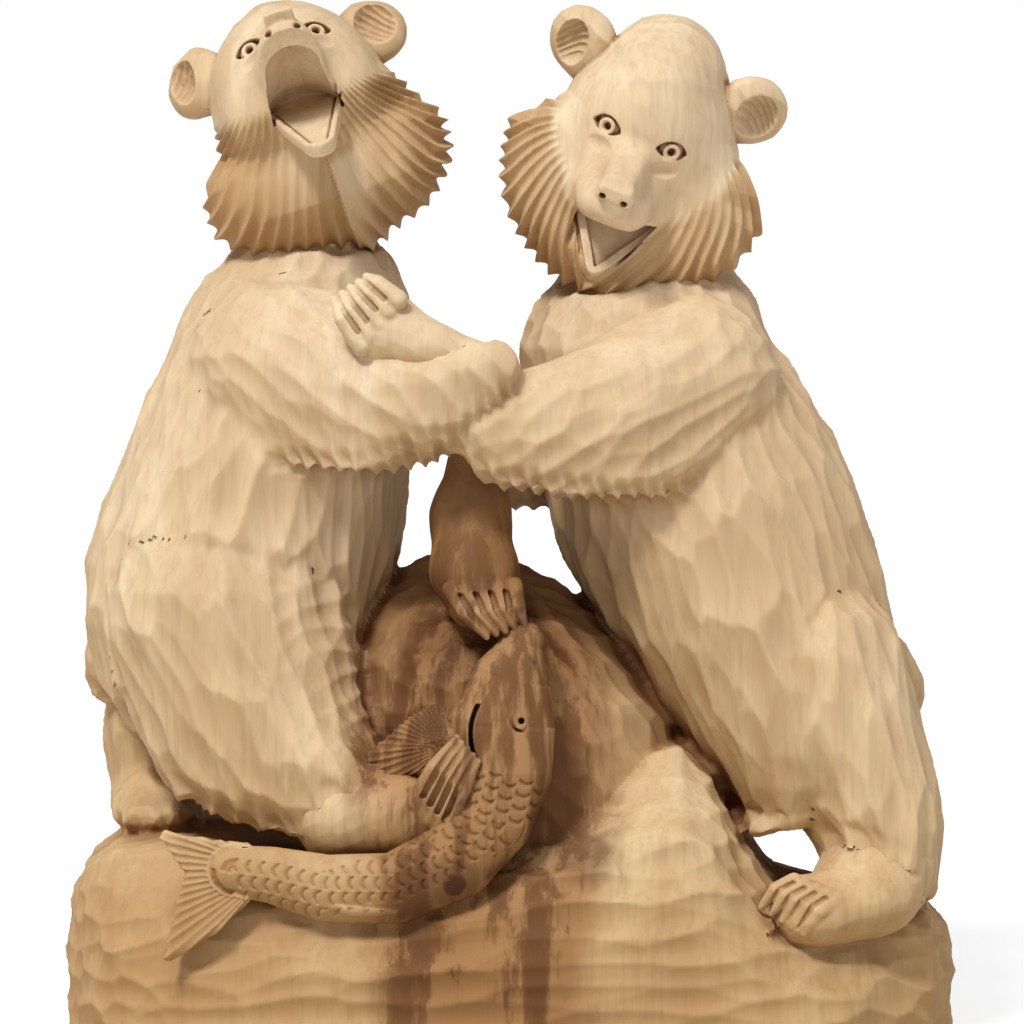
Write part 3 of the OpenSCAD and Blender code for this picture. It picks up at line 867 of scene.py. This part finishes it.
def carve_head(head):
    nodes = [head.bear + s for s in ("_head", "_jaw", "_ear_left", "_ear_right")]
    low, high = box_of(nodes)
    lattice = Lattice.over(low - HEAD_MARGIN, high + HEAD_MARGIN, FINE)
    field, label = sculpted(lattice, lambda p: head_form(head, p))
    names = {i + 1: n for i, n in enumerate(nodes)}

    def cut(p, normals):
        q = head.local(p)
        m = mirrored(q)
        lean = (p - head.middle) @ head.lean
        face = np.minimum(np.minimum(skull_form(head, q), cheek_form(m)), lip_form(head, m))
        share, reach = ruff_share(head, lean)
        others = np.min(np.stack([jaw_form(head, q)] + ear_forms(head, q)), 0)
        if head.laughs:
            begun = -8 - lean[:, 2]
        else:
            down = np.degrees(np.arctan2(lean[:, 0], -lean[:, 2] - 25))
            begun = share * reach - np.interp(down, *zip(*head.mask)).astype(np.float32)
        clear = (face + 2) / 3 if head.laughs else (face - 2) / 4
        in_ruff = smooth(begun / 9) * smooth(others / 3.0) * smooth(clear)
        # Locks fan out from a centre on each side of the face, and sag as they go.
        sides = []
        for side, (cx, cz) in zip((-1, 1), head.fans):
            dx, dz = lean[:, 0] - cx, lean[:, 2] - cz
            angle = np.arctan2(side * dx, -dz)
            sag = -0.005 if head.laughs else 0.009
            sides.append(side * (angle + sag * np.hypot(dx, dz)) / (0.092 if head.laughs else 0.10))
        t = np.where(lean[:, 0] < head.parting, sides[0], sides[1] + 40)
        t = t + 0.6 * value_noise(lean, 30, 9)
        rim = smooth((share - 0.62) / 0.35)
        uneven = 0.7 + 0.55 * hash01(np.floor(t).astype(np.int64), 0, 5, 2)
        lock = (t - np.floor(t)) ** 1.3
        height = in_ruff * ((1.2 + 2.5 * rim) * (flute(lock) - 1) * uneven + 1.0)
        if head.laughs:
            # The right side of the ruff lies over the throat along a crease.
            over = lean[:, 0] - head.parting
            fold = smooth((-36 - lean[:, 2]) / 10) * (over > 0) * smooth((26 - over) / 22)
            height += 5.0 * in_ruff * fold
        crown = smooth((q[:, 2] - 12) / 14)
        facets = scoops(q @ frame_along((1.0, 0.2, -0.5)).T, (8, 8, 20 + 10 * (not head.laughs)), 3)
        nose = np.array([0, -72, -18])
        soft = clamp(length(m - EYE) / 12 - 0.6) * clamp(length(q - nose) / 14 - 0.6)
        height += (1 - in_ruff) * soft * (0.6 + 1.2 * crown) * (facets - 0.45)
        height -= eye_scoop(m)
        # The fur for the material: more on the ruff's outer locks, which get painted shade, and below
        # zero on the bare face, which is spared the painted shade of undersides.
        fur_shade.append(in_ruff * smooth(share / 0.8) - 0.8 * (1 - in_ruff) * smooth(1.6 - share))
        return height.astype(np.float32)

    fur_shade = []
    return carve(lattice, field, label, names, cut, 2.0, fur_shade=fur_shade)


# ---------------------------------------------------------------- paws, feet and fish


def limb(p, stations, k=3.0):
    """Ellipsoids [x, y, z, rx, ry, rz] run together into one limb."""
    stations = np.asarray(stations, np.float32)
    best = None
    for a, b in zip(stations[:-1], stations[1:]):
        ab = b[:3] - a[:3]
        t = clamp((p - a[:3]) @ ab / float(ab @ ab))[:, None]
        centre, radii = a[:3] + t * ab, a[3:] + t * (b[3:] - a[3:])
        r = (p - centre) / radii
        k0 = length(r)
        d = k0 * (k0 - 1) / np.maximum(length(r / radii), 1e-6)
        best = d if best is None else smin(best, d, k)
    return best


def clawed(p, d, root_a, root_b, tip_a, tip_b, lift, thick=4.4, slit=1.7):
    """Adds a row of claws that run over knuckles, and slits cut deep between them."""
    count, over = 5, 0.85
    root_a, root_b, tip_a, tip_b, lift = np.float32([root_a, root_b, tip_a, tip_b, lift])

    def line(t):
        root, tip = root_a + t * (root_b - root_a), tip_a + t * (tip_b - tip_a)
        return root, (root + tip) / 2 + lift, tip

    for i in range(count):
        root, middle, tip = line(i / (count - 1))
        claw = np.minimum(rod(p, root, middle, thick, thick * 0.9),
                          rod(p, middle, tip, thick * 0.9, thick * 0.4))
        d = smin(d, claw, 1.2)
    out = lift / np.linalg.norm(lift)
    for i in range(count - 1):
        root, middle, tip = line((i + 0.5) / (count - 1))
        root = root + 0.25 * (middle - root)
        up = out * thick * over
        cutter = np.minimum(rod(p, root + up, middle + up, slit, slit),
                            rod(p, middle + up, tip + up * 0.6, slit, slit * 0.5))
        d = smax(d, -cutter, 0.5)
    return d


def chest_paw(p):
    d = limb(p, [[-14, -78, 326, 11, 11, 10], [-39, -77, 333, 14, 13, 12],
                 [-57, -74, 341, 20, 14, 18]], 6)
    return clawed(p, d, (-70, -82, 334), (-53, -84, 356), (-83, -73, 356), (-68, -73, 367),
                  (-2, -5, 2), thick=5.0, slit=1.3)


def rock_paw(p):
    d = limb(p, [[-14, -26, 284, 14, 16, 16], [-19, -46, 250, 18, 15, 20], [-17, -60, 226, 20, 15, 17],
                 [-12, -70, 210, 18, 12, 12]], 8)
    return clawed(p, d, (-28, -76, 218), (2, -74, 220), (-11, -87, 197), (7, -84, 202), (-1, -5, 0))


def left_foot(p):
    d = limb(p, [[-78, -72, 109, 25, 24, 24], [-50, -85, 112, 20, 19, 20]], 8)
    return clawed(p, d, (-45, -101, 120), (-31, -98, 104), (-25, -104, 151), (-15, -106, 140),
                  (0, -5, 2))


def right_foot(p):
    d = limb(p, [[178, -54, 84, 28, 28, 27], [166, -70, 69, 28, 24, 17], [145, -82, 63, 21, 18, 13],
                 [137, -80, 72, 13, 12, 10]], 8)
    return clawed(p, d, (135, -86, 80), (155, -93, 72), (119, -89, 68), (139, -99, 57),
                  (-1, -4, 3), thick=4.2, slit=1.2)


# The fish's spine from the head to the tail: x, y, z, half its width and half its depth.
FISH = np.array([
    [7, -80, 194, 10, 9], [1, -85, 178, 18, 12], [-3, -89, 156, 25, 13], [-3, -93, 134, 23, 14],
    [-9, -97, 112, 20, 13], [-26, -99, 92, 19, 12], [-54, -101, 79, 17, 11], [-86, -101, 79, 16, 10],
    [-112, -99, 85, 13.5, 9], [-130, -97, 87, 12, 8]], np.float32)
FISH_RUN = np.concatenate([[0], np.cumsum(np.hypot(*np.diff(FISH[:, (0, 2)], axis=0).T))])


def along_fish(p):
    """Nearest place on the spine: length along it, offset across it, middle depth, two radii."""
    best = np.full(len(p), 1e9, np.float32)
    found = np.zeros((5, len(p)), np.float32)
    for i, (a, b) in enumerate(zip(FISH[:-1], FISH[1:])):
        ab = b[[0, 2]] - a[[0, 2]]
        size = float(np.hypot(*ab))
        w = p[:, [0, 2]] - a[[0, 2]]
        t = clamp(w @ ab / size ** 2)
        off = w - t[:, None] * ab
        d = np.hypot(off[:, 0], off[:, 1])
        mix = a + t[:, None] * (b - a)
        across = np.sign(w[:, 0] * -ab[1] + w[:, 1] * ab[0]) * d
        here = np.stack([FISH_RUN[i] + t * size, across, mix[:, 1], mix[:, 3], mix[:, 4]])
        found = np.where(d < best, here, found)
        best = np.minimum(best, d)
    return found


def fish_body(p):
    run, across, deep, rx, ry = along_fish(p)
    r = np.hypot(across / rx, (p[:, 1] - deep) / ry)
    d = (r - 1) * np.minimum(rx, ry) * 1.05
    gill = np.abs(np.hypot(p[:, 0] - 1, (p[:, 2] - 152) * 0.82) - 19.5) - 1.0
    gill = np.maximum(gill, np.maximum(p[:, 0] - 2, p[:, 2] - 166))
    gill = np.maximum(gill, np.abs(p[:, 1] + 99) - 5)
    return d, gill


def slab(p, points, thick=3.0):
    """A thin fan of triangles between points, from the first."""
    points = np.asarray(points, np.float32)
    best = None
    for b, c in zip(points[1:-1], points[2:]):
        a = points[0]
        ba, cb, ac = b - a, c - b, a - c
        n = np.cross(ba, ac)
        pa, pb, pc = p - a, p - b, p - c

        def edge(e, w):
            t = clamp(w @ e / float(e @ e))
            return np.einsum("ij,ij->i", t[:, None] * e - w, t[:, None] * e - w)

        signs = [np.sign(w @ np.cross(e, n)) for w, e in ((pa, ba), (pb, cb), (pc, ac))]
        outside = sum(signs) < 2
        d2 = np.where(outside, np.minimum(np.minimum(edge(ba, pa), edge(cb, pb)), edge(ac, pc)),
                      (pa @ n) ** 2 / float(n @ n))
        best = d2 if best is None else np.minimum(best, d2)
    return np.sqrt(best) - thick


TAIL_UP = [[-124, -98, 84], [-124, -98, 97], [-145, -97, 100], [-163, -95, 103], [-151, -97, 86]]
TAIL_LOW = [[-120, -99, 80], [-151, -97, 86], [-155, -99, 70], [-161, -104, 47], [-137, -103, 62]]
PECTORAL = [[-27, -92, 150], [-36, -84, 162], [-44, -82, 158], [-52, -81, 151], [-60, -80, 144],
            [-68, -80, 138], [-62, -82, 130], [-42, -90, 134]]
ANAL = [[-58, -107, 84], [-92, -107, 75], [-74, -108, 70], [-54, -108, 70], [-46, -107, 79]]


def fish_form(p):
    body, gill = fish_body(p)
    eye = np.array([5.4, -104.0, 158.3], np.float32)
    radius = np.hypot(p[:, 0] - eye[0], p[:, 2] - eye[2])
    body = smax(body, -np.maximum(np.abs(radius - 4.6) - 0.7, p[:, 1] + 100.2), 0.5)
    body = smax(body, -np.maximum(radius - 1.5, p[:, 1] + 97), 0.4)
    body = smax(body, -gill, 0.5)
    mouth = rod(p, (9, -93, 191), (12, -90, 184), 1.4, 0.8)
    body = smax(body, -mouth, 0.4)
    fins = np.minimum(slab(p, TAIL_UP), slab(p, TAIL_LOW)), slab(p, PECTORAL), slab(p, ANAL)
    # A fin ends where the body begins.
    return body, *(np.maximum(fin, -body) for fin in fins)


def fish_cuts(p, normals):
    """Crescent stab cuts for scales, and rays on the fins."""
    run, across, deep, rx, ry = along_fish(p)
    body = np.abs(fish_body(p)[0]) < 1.6
    row = np.floor(across / 7.6)
    v = across / 7.6 - row - 0.5
    u = run / 6.2 + 0.5 * np.mod(row, 2)
    cell = u - np.floor(u)
    arc = 0.72 - 1.5 * v * v
    stab = clamp(1 - np.abs(cell - arc) / 0.17)
    chip = clamp(1 - np.abs(cell - arc - 0.16) / 0.3)
    middle = smooth((run - 78) / 30) * (1 - smooth((run - 150) / 30))
    low, high = -0.55 - 0.4 * middle, 0.92 - 0.62 * middle
    share = across / rx
    keep = (share > low) & (share < high) & (run > 62) & (run < 232)
    keep = keep & (np.abs(v) < 0.42) & (normals[:, 1] < -0.2) & body
    height = -np.where(keep, 1.0 * stab + 0.35 * chip, 0)
    x, z = p[:, 0], p[:, 2]
    for fin, root_x, root_z, pitch, amount in (
        (x < -116, -112, 88, 0.085, 0.9),
        ((x > -75) & (z > 122), -30, 146, 0.12, 1.0),
        ((x > -96) & (x < -40) & (z < 90), -30, 84, 0.055, 0.8),
    ):
        dx, dz = x - root_x, z - root_z
        rays = 1 - flute(np.arctan2(dz, -dx) / pitch)
        height -= np.where(~body & fin & (np.hypot(dx, dz) < 75), amount, 0) * rays
    return height.astype(np.float32)


def carve_forms(nodes, form, cut, drawn_at):
    """Carves forms that were drawn around a middle, moved to where the nodes' own middle is."""
    low, high = box_of(nodes)
    lattice = Lattice.over(low - FORM_MARGIN, high + FORM_MARGIN, FINE)
    moved = ((low + high) / 2 - np.array(drawn_at)).astype(np.float32)
    field, label = sculpted(lattice, lambda p: form(p - moved))
    names = {i + 1: n for i, n in enumerate(nodes)}
    return carve(lattice, field, label, names, lambda p, n: cut(p - moved, n), 1.5, 0.2)


def soft_facets(seed, flow, size, depth):
    axes = frame_along(flow)
    return lambda p, normals: depth * (scoops(p @ axes.T, size, seed) - 0.45)


# ---------------------------------------------------------------- materials, light and camera


class Nodes:
    """Short helpers to wire a material."""

    def __init__(self, name):
        self.material = bpy.data.materials.new(name)
        self.material.use_nodes = True
        self.tree = self.material.node_tree
        self.tree.nodes.clear()
        self.colour = None

    def new(self, kind, **inputs):
        node = self.tree.nodes.new("ShaderNode" + kind)
        for key, value in inputs.items():
            self.put(node.inputs[key.replace("_", " ")], value)
        return node

    def put(self, socket, value):
        if isinstance(value, bpy.types.NodeSocket):
            self.tree.links.new(value, socket)
        else:
            socket.default_value = value

    def math(self, operation, a, b=0.0, c=0.0, limit=False):
        node = self.new("Math")
        node.operation, node.use_clamp = operation, limit
        for socket, value in zip(node.inputs, (a, b, c)):
            self.put(socket, value)
        return node.outputs[0]

    def ramp(self, value, low, high, smooth_ends=True):
        node = self.new("MapRange")
        node.interpolation_type = "SMOOTHSTEP" if smooth_ends else "LINEAR"
        for socket, v in zip(node.inputs, (value, low, high, 0.0, 1.0)):
            self.put(socket, v)
        return node.outputs[0]

    def mix(self, factor, a, b, blend="MIX"):
        node = self.new("Mix")
        node.data_type, node.blend_type = "RGBA", blend
        self.put(node.inputs[0], factor)
        self.put(node.inputs[6], a)
        self.put(node.inputs[7], b)
        return node.outputs[2]

    def lay(self, factor, rgb, amount=1.0, blend="MULTIPLY"):
        """Lays a colour over the wood as far as factor says."""
        self.colour = self.mix(self.math("MULTIPLY", factor, amount), self.colour, (*rgb, 1), blend)

    def attribute(self, name):
        node = self.new("Attribute")
        node.attribute_name = name
        return node.outputs["Fac"]

    def vector(self, operation, a, b):
        node = self.new("VectorMath")
        node.operation = operation
        self.put(node.inputs[0], a)
        self.put(node.inputs["Scale" if operation == "SCALE" else 1], b)
        return node.outputs["Value" if operation == "DISTANCE" else "Vector"]

    def noise(self, vector, scale, detail=3.0, roughness=0.5, stretch=(1, 1, 1)):
        mapping = self.new("Mapping", Vector=vector, Scale=stretch)
        return self.new("TexNoise", Vector=mapping.outputs[0], Scale=scale, Detail=detail,
                        Roughness=roughness).outputs["Fac"]


def wood(name):
    """Fresh-cut lime: pale, with fine upright grain and darker patches, a brown heart that comes to the
    surface on the boulder, fish and base, and knots. Painted shade darkens its hollows and undersides,
    and a painted highlight pales its crisp edges."""
    k = Nodes(name)
    place = k.new("TexCoord").outputs["Object"]
    x, y, z = k.new("SeparateXYZ", Vector=place).outputs
    patches = k.noise(place, 9.0, 4.0, 0.55, (1, 1, 0.6))
    grain = k.noise(place, 300.0, 5.0, 0.6, (1, 1, 0.05))
    broad = k.noise(place, 60.0, 4.0, 0.6, (1, 1, 0.07))
    k.colour = k.mix(k.ramp(patches, 0.36, 0.66), (0.68, 0.49, 0.285, 1), (0.80, 0.645, 0.43, 1))
    k.lay(k.ramp(broad, 0.62, 0.35), (0.62, 0.42, 0.25), 0.55, "MIX")
    k.lay(k.ramp(grain, 0.55, 0.3), (0.50, 0.33, 0.19), 0.3, "MIX")
    # The heart: an upright column near the front, ragged at its edge.
    wander = k.math("MULTIPLY_ADD", k.noise(place, 22.0, 4.0, 0.6, (1, 1, 0.3)), 0.07, -0.035)
    off_x = k.math("ADD", k.math("ADD", x, 0.010), wander)
    off_y = k.math("ADD", y, 0.085)
    squares = k.math("ADD", k.math("MULTIPLY", off_x, off_x), k.math("MULTIPLY", off_y, off_y))
    radius = k.math("SQRT", squares)
    column = k.math("MULTIPLY", k.ramp(radius, 0.074, 0.046), k.ramp(z, 0.29, 0.20))
    streaks = k.ramp(k.noise(place, 70.0, 5.0, 0.65, (1, 1, 0.08)), 0.34, 0.62)
    stain = k.math("MULTIPLY", column, k.math("MULTIPLY_ADD", streaks, 0.55, 0.3))
    k.lay(column, (0.44, 0.255, 0.12), 0.85, "MIX")
    k.lay(stain, (0.17, 0.075, 0.03), k.ramp(streaks, 0.2, 0.8), "MIX")
    # Knots: dark eyes with a ring, bent out of round.
    warp = k.new("TexNoise", Vector=place, Scale=60.0, Detail=3.0).outputs["Color"]
    warp = k.vector("SCALE", warp, 0.008)
    bent = k.vector("ADD", place, warp)
    for middle, size in (((0.041, -0.081, 0.090), 0.011), ((-0.022, -0.108, 0.086), 0.009),
                         ((0.020, -0.096, 0.116), 0.005)):
        distance = k.vector("DISTANCE", bent, middle)
        core = k.ramp(distance, size, size * 0.55)
        ring = k.math("MULTIPLY", k.ramp(distance, size * 1.9, size * 1.2), 0.45)
        k.lay(k.math("MAXIMUM", core, ring, limit=True), (0.13, 0.055, 0.025), 1.0, "MIX")
    # Painted shade: undersides are browner, less so on the bare face, and so is everything low down, as
    # the light from above falls off, and the fur of the ruff, whose locks face down. The back is
    # browner too.
    lie = k.new("SeparateXYZ", Vector=k.new("NewGeometry").outputs["Normal"]).outputs[2]
    near, wide, fur = (k.attribute(layer) for layer in ("near", "wide", "fur"))
    bare = k.math("ADD", k.math("MINIMUM", fur, 0.0), 1.0)
    under = k.math("MULTIPLY", k.ramp(lie, 0.35, -0.55), 0.75)
    k.lay(under, (0.66, 0.56, 0.40), bare)
    # Painted shade: darker towards the bottom, and again from the base's top down.
    k.lay(k.ramp(z, 0.34, 0.02), (0.78, 0.68, 0.52), 0.8)
    k.lay(k.ramp(z, 0.105, 0.06), (0.84, 0.78, 0.70))
    k.lay(k.ramp(y, -0.02, 0.04), (0.86, 0.80, 0.72))
    # Painted shade on the ruff's down-turned locks.
    k.lay(k.math("MAXIMUM", fur, 0.0), (0.78, 0.68, 0.56))
    if name == HEART:
        k.lay(0.75, (0.80, 0.72, 0.62))
        # Painted shadow: the heart wood high up and back from the front, on the boulder's top, is
        # darker where the bears above shade it.
        k.lay(k.ramp(z, 0.150, 0.205), (0.60, 0.50, 0.40), k.ramp(y, -0.095, -0.07))
    # Painted shade darkens hollows, near to and further off, and the beds of cuts; a painted highlight
    # makes crisp edges and the ridges between cuts paler.
    k.lay(k.ramp(wide, 0.05, 0.55, False), (0.46, 0.31, 0.16), 0.5)
    k.lay(k.ramp(near, 0.02, 0.34, False), (0.42, 0.23, 0.12), 0.6)
    k.lay(k.ramp(near, 0.26, 0.50, False), (0.42, 0.24, 0.15), 0.9)
    k.lay(k.ramp(near, -0.03, -0.14, False), (0.88, 0.74, 0.54), 0.22, "MIX")
    height = k.math("ADD", grain, k.noise(place, 900.0, 3.0, 0.6, (1, 1, 0.2)))
    bump = k.new("Bump", Strength=0.25, Distance=0.0004, Height=height)
    bsdf = k.new("BsdfPrincipled", Base_Color=k.colour, Specular_IOR_Level=0.16,
                 Roughness=k.math("MULTIPLY_ADD", grain, 0.2, 0.55), Normal=bump.outputs[0])
    out = k.new("OutputMaterial")
    k.tree.links.new(bsdf.outputs["BSDF"], out.inputs["Surface"])
    return k.material


pieces = carve_bodies()
for bear, shape in HEADS.items():
    pieces.update(carve_head(Head(bear, shape)))
fish_nodes = ["fish_body", "fish_tail_fin", "fish_pectoral_fin", "fish_anal_fin"]
pieces.update(carve_forms(fish_nodes, fish_form, fish_cuts, (-72.89, -91.47, 123.04)))
for node, form, flow, drawn_at in (
    ("right_bear_chest_paw", chest_paw, (-1, 0, 0.4), (-43.79, -75.01, 342.37)),
    ("right_bear_rock_paw", rock_paw, (0, -0.4, -1), (-14.21, -49.87, 247.55)),
    ("left_bear_front_foot", left_foot, (0.8, 0, 0.5), (-57.97, -79.4, 118.98)),
    ("right_bear_front_foot", right_foot, (-1, -0.2, -0.3), (162.95, -64.92, 79.88)),
):
    facets = soft_facets(7, flow, (6, 6, 20), 0.5)
    pieces.update(carve_forms([node], lambda p, form=form: (form(p),), facets, drawn_at))

materials = {LIME: wood(LIME), HEART: wood(HEART)}
for node, ob in pieces.items():
    ob.data.materials.append(materials[SLOT[node]])
    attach(ob, "root")
    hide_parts(node)

floor_mesh = bpy.data.meshes.new("floor")
reach = 6.0
corners = [(-reach, -reach, 0), (reach, -reach, 0), (reach, reach, 0), (-reach, reach, 0)]
floor_mesh.from_pydata(corners, [], [(0, 1, 2, 3)])
floor = bpy.data.objects.new("floor", floor_mesh)
bpy.context.scene.collection.objects.link(floor)
white = bpy.data.materials.new("paper")
white.use_nodes = True
paper = white.node_tree.nodes["Principled BSDF"].inputs
paper["Base Color"].default_value = (0.2, 0.2, 0.2, 1)
paper["Emission Color"].default_value = (1, 1, 1, 1)
paper["Emission Strength"].default_value = 0.82
paper["Roughness"].default_value = 0.9
floor_mesh.materials.append(white)

# A white room with a dim ceiling: bright up to a little above the horizon, softer overhead.
world = bpy.data.worlds.new("studio")
bpy.context.scene.world = world
world.use_nodes = True
tree = world.node_tree
back = tree.nodes["Background"]
back.inputs["Strength"].default_value = 1.0
sky = tree.nodes.new("ShaderNodeTexCoord")
split = tree.nodes.new("ShaderNodeSeparateXYZ")
fade = tree.nodes.new("ShaderNodeValToRGB")
bright, dim = fade.color_ramp.elements
bright.position, bright.color = 0.06, (1, 1, 1, 1)
dim.position, dim.color = 0.16, (0.10, 0.10, 0.105, 1)
tree.links.new(sky.outputs["Generated"], split.inputs[0])
tree.links.new(split.outputs["Z"], fade.inputs["Fac"])
tree.links.new(fade.outputs["Color"], back.inputs["Color"])
bpy.context.scene.view_settings.view_transform = "Standard"


def sun(name, way, strength, spread):
    data = bpy.data.lights.new(name, "SUN")
    data.energy, data.angle = strength, spread
    ob = bpy.data.objects.new(name, data)
    ob.rotation_euler = Vector(way).to_track_quat("-Z", "Y").to_euler()
    bpy.context.scene.collection.objects.link(ob)


sun("key", (0.42, 0.62, -1.0), 2.5, 0.2)
sun("overhead", (-0.15, 0.3, -1.0), 1.0, 1.0)

camera_data = bpy.data.cameras.new("camera")
camera_data.sensor_width = 36
camera_data.lens = 172.2
camera = bpy.data.objects.new("camera", camera_data)
target = Vector((0.001, 0.0, 0.25))
tilt = np.radians(4.0)
camera.location = target + 2.4 * Vector((0, -np.cos(tilt), np.sin(tilt)))
camera.rotation_euler = (target - camera.location).to_track_quat("-Z", "Y").to_euler()
bpy.context.scene.collection.objects.link(camera)
bpy.context.scene.camera = camera
